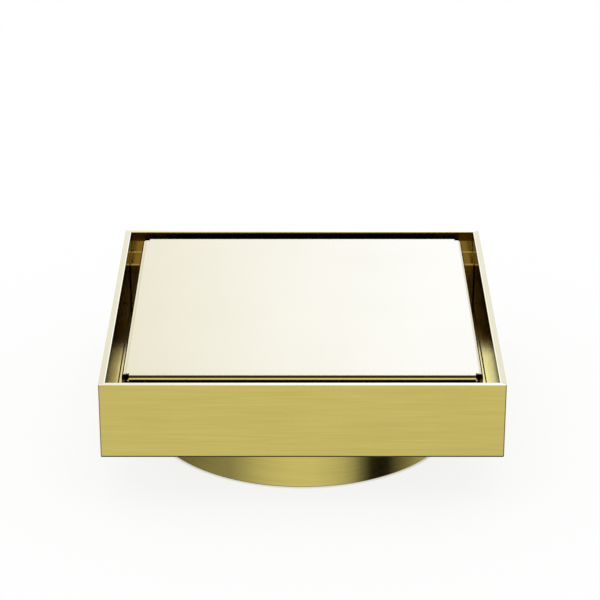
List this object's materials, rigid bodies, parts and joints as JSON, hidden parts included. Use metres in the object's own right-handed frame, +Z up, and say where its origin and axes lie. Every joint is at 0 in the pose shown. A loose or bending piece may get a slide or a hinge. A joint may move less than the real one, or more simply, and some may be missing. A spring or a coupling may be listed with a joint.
{
  "type": "square floor drain",
  "caption": "Square brass floor drain: open-top frame with a round outlet, a solid lift-out cover that leaves a narrow slot all round, and a lift-out strainer.",
  "frame": {"origin": "centre of the outlet tube's lower end", "axes": "+Z up along the outlet's axis, -Y to the front, +X to the right"},
  "size_m": [0.11, 0.11, 0.0366],
  "materials": {
    "brass": "brushed, lacquered",
    "cover_brass": "brushed, lacquered",
    "steel": "satin",
    "silicone": "matte"
  },
  "bodies": {
    "frame": {"front_wall": "brass", "right_wall": "brass", "rear_wall": "brass", "left_wall": "brass", "base_plate": "brass", "outlet_tube": "brass", "corner_post_front_left": "brass", "corner_post_front_right": "brass", "corner_post_rear_right": "brass", "corner_post_rear_left": "brass", "locating_stud_front_left": "brass", "locating_stud_front_right": "brass", "locating_stud_rear_right": "brass", "locating_stud_rear_left": "brass", "rest_washer_front_left": "silicone", "rest_washer_front_right": "silicone", "rest_washer_rear_right": "silicone", "rest_washer_rear_left": "silicone"},
    "cover": {"cover_plate": "cover_brass"},
    "strainer": {"strainer_disc": "steel", "strainer_collar": "steel", "strainer_gasket": "silicone", "lift_knob": "steel", "knob_screw": "steel"}
  },
  "joints": [
    {"name": "cover_lift", "type": "slide", "parent": "frame", "child": "cover", "axis": [0, 0, 1], "range_m": [0, 0.05]},
    {"name": "strainer_lift", "type": "slide", "parent": "frame", "child": "strainer", "axis": [0, 0, 1], "range_m": [0, 0.008]}
  ]
}
